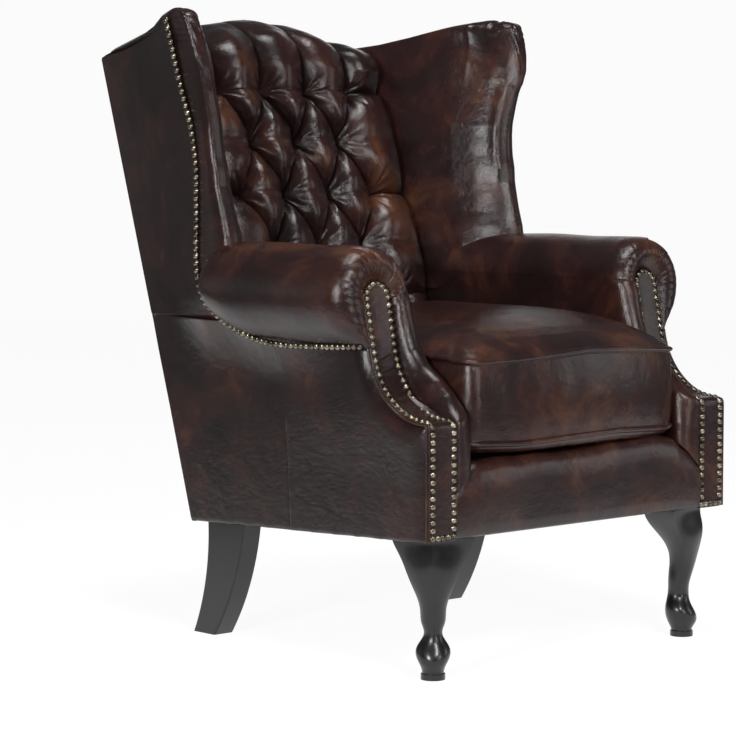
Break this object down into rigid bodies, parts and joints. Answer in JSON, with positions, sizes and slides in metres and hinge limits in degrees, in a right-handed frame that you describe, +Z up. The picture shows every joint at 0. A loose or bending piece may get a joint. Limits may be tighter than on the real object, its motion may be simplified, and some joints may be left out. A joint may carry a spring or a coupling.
{
  "type": "wing chair",
  "caption": "Upholstered wing chair with rolled arms, a deep buttoned back, a lift-out seat cushion, cabriole front legs and sabre back legs.",
  "frame": {"origin": "on the floor under the centre of the chair's bounding box", "axes": "+X to the sitter's left, -Y to the front, +Z up"},
  "size_m": [0.788, 0.8899, 1.04],
  "materials": {
    "antiqued_leather": "glossy, antiqued",
    "frame_hardwood": "sawn",
    "lining_board": "matt",
    "black_lacquer": "black lacquer, glossy",
    "webbing": "woven jute",
    "foam": "foam",
    "black_cloth": "matt",
    "deck_cloth": "matt",
    "steel": "plain"
  },
  "bodies": {
    "chair": {"arm_board_left": "frame_hardwood", "arm_board_right": "frame_hardwood", "arm_facing_left": "antiqued_leather", "arm_facing_right": "antiqued_leather", "arm_lining_left": "lining_board", "arm_lining_right": "lining_board", "arm_pad_left": "antiqued_leather", "arm_pad_right": "antiqued_leather", "arm_post_left": "frame_hardwood", "arm_post_right": "frame_hardwood", "back_buttons": "antiqued_leather", "back_leg_left": "black_lacquer", "back_leg_right": "black_lacquer", "back_pad": "antiqued_leather", "back_post_left": "frame_hardwood", "back_post_right": "frame_hardwood", "back_seat_rail": "frame_hardwood", "back_tack_rail": "frame_hardwood", "back_webbing": "webbing", "corner_blocks": "frame_hardwood", "crest_rail": "frame_hardwood", "dust_cover": "black_cloth", "foot_discs": "black_lacquer", "front_leg_left": "black_lacquer", "front_leg_right": "black_lacquer", "front_rail_cover": "antiqued_leather", "front_seat_rail": "frame_hardwood", "leg_bolts": "steel", "outside_arm_left": "antiqued_leather", "outside_arm_right": "antiqued_leather", "outside_back": "antiqued_leather", "outside_wing_left": "antiqued_leather", "outside_wing_right": "antiqued_leather", "seat_deck": "deck_cloth", "seat_springs": "steel", "side_seat_rail_left": "frame_hardwood", "side_seat_rail_right": "frame_hardwood", "spring_clips": "steel", "wing_pad_left": "antiqued_leather", "wing_pad_right": "antiqued_leather", "wing_post_left": "frame_hardwood", "wing_post_right": "frame_hardwood", "wing_rail_left": "frame_hardwood", "wing_rail_right": "frame_hardwood"},
    "cushion": {"cushion_cover": "antiqued_leather", "cushion_core": "foam"}
  },
  "joints": [
    {"name": "cushion_lift", "type": "slide", "parent": "chair", "child": "cushion", "axis": [0, 0, 1], "range_m": [0, 0.7]}
  ]
}
